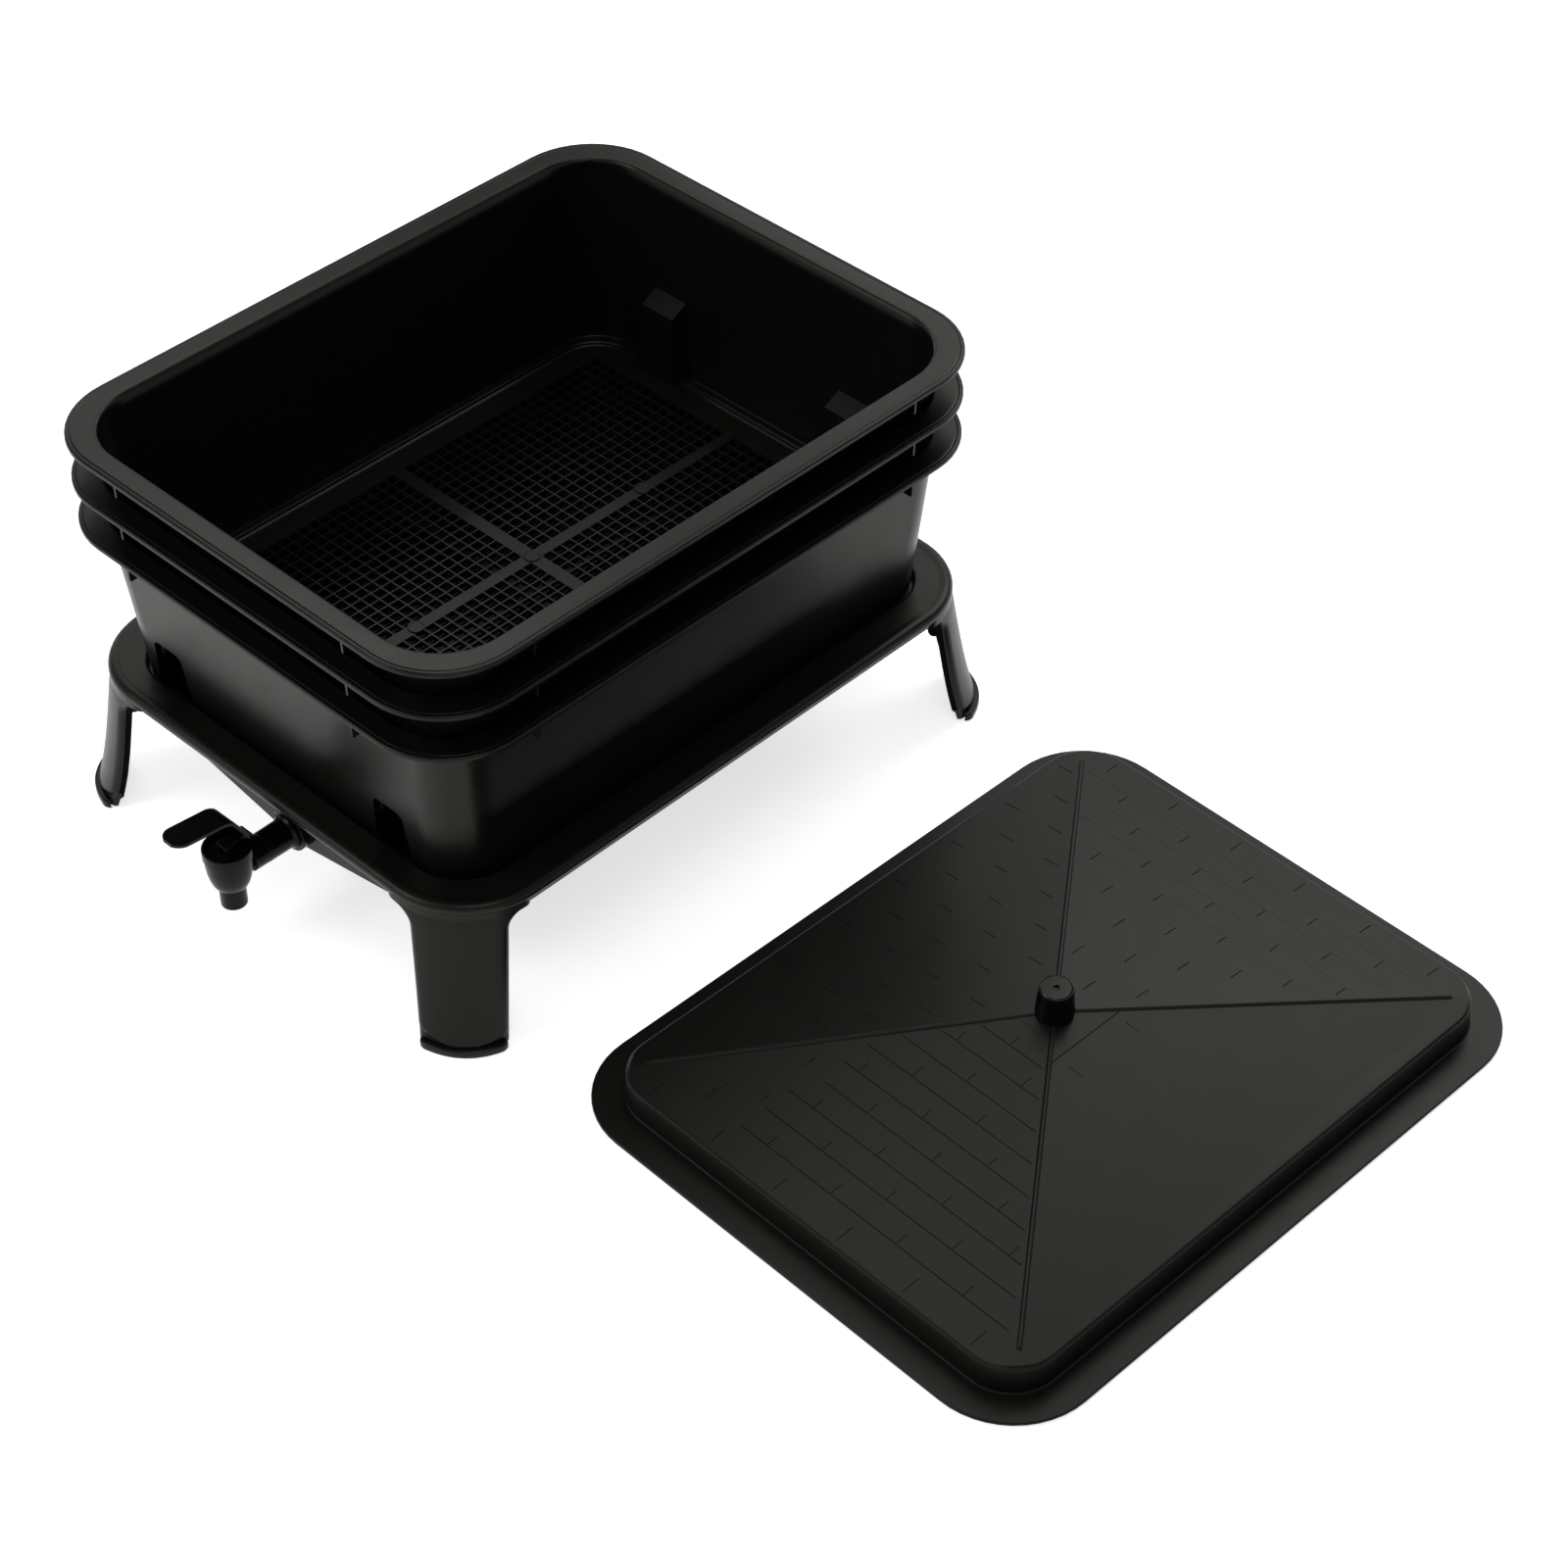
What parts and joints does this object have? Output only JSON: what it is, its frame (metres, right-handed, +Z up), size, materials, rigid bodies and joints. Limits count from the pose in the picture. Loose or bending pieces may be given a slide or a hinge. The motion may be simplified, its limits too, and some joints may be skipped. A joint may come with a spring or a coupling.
{
  "type": "worm composter",
  "caption": "Stacking worm composter: legged stand with sloping liquid collector and lever tap, nested mesh-floor trays and a hipped lid with a knob, shown beside the stack.",
  "frame": {"origin": "on the floor, under the middle of the space that the stack and the lid beside it take up", "axes": "+X along the trays, away from the tap; +Y from the lid towards the stack; +Z up"},
  "size_m": [0.6838, 1.0121, 0.3562],
  "materials": {
    "stand_plastic": "fine moulded texture",
    "tray_plastic": "fine moulded texture",
    "lid_plastic": "fine moulded texture",
    "knob_plastic": "satin",
    "tap_plastic": "semi-gloss",
    "lever_plastic": "semi-gloss",
    "seal_rubber": "matt",
    "fixing_steel": "zinc plated"
  },
  "bodies": {
    "base": {"stand": "stand_plastic", "collector_tray": "stand_plastic", "tap_body": "tap_plastic", "tap_bonnet": "tap_plastic", "tap_seat_cup": "seal_rubber", "outer_gasket": "seal_rubber", "inner_gasket": "seal_rubber", "lock_nut": "tap_plastic"},
    "bottom_tray": {"tray_bottom": "tray_plastic"},
    "middle_tray": {"tray_middle": "tray_plastic"},
    "top_tray": {"tray_top": "tray_plastic"},
    "lid_assembly": {"lid": "lid_plastic", "lid_knob": "knob_plastic", "knob_screw": "fixing_steel", "knob_washer": "fixing_steel"},
    "stem": {"tap_stem": "tap_plastic"},
    "lever": {"tap_lever": "lever_plastic", "lever_pin": "fixing_steel"}
  },
  "joints": [
    {"name": "bottom_tray_lift", "type": "slide", "parent": "base", "child": "bottom_tray", "axis": [0, 0, 1], "range_m": [0, 0.18]},
    {"name": "middle_tray_lift", "type": "slide", "parent": "bottom_tray", "child": "middle_tray", "axis": [0, 0, 1], "range_m": [0, 0.18]},
    {"name": "top_tray_lift", "type": "slide", "parent": "middle_tray", "child": "top_tray", "axis": [0, 0, 1], "range_m": [0, 0.18]},
    {"name": "lid_lift", "type": "slide", "parent": "base", "child": "lid_assembly", "axis": [0, 0, 1], "range_m": [0, 0.4]},
    {"name": "stem_lift", "type": "slide", "parent": "base", "child": "stem", "axis": [0, 0, 1], "range_m": [0, 0.002], "deforming": ["tap_seat_cup"]},
    {"name": "lever_tilt", "type": "hinge", "parent": "stem", "child": "lever", "pos_m": [-0.2906, 0.2677, 0.0929], "axis": [0, -1, 0], "range_deg": [0, 35], "stiffness_Nm_per_rad": 0.3, "springref_deg": -17.19}
  ],
  "couplings": [
    {"joint": "stem_lift", "follows": "lever_tilt", "m_per_rad": 0.0032}
  ]
}
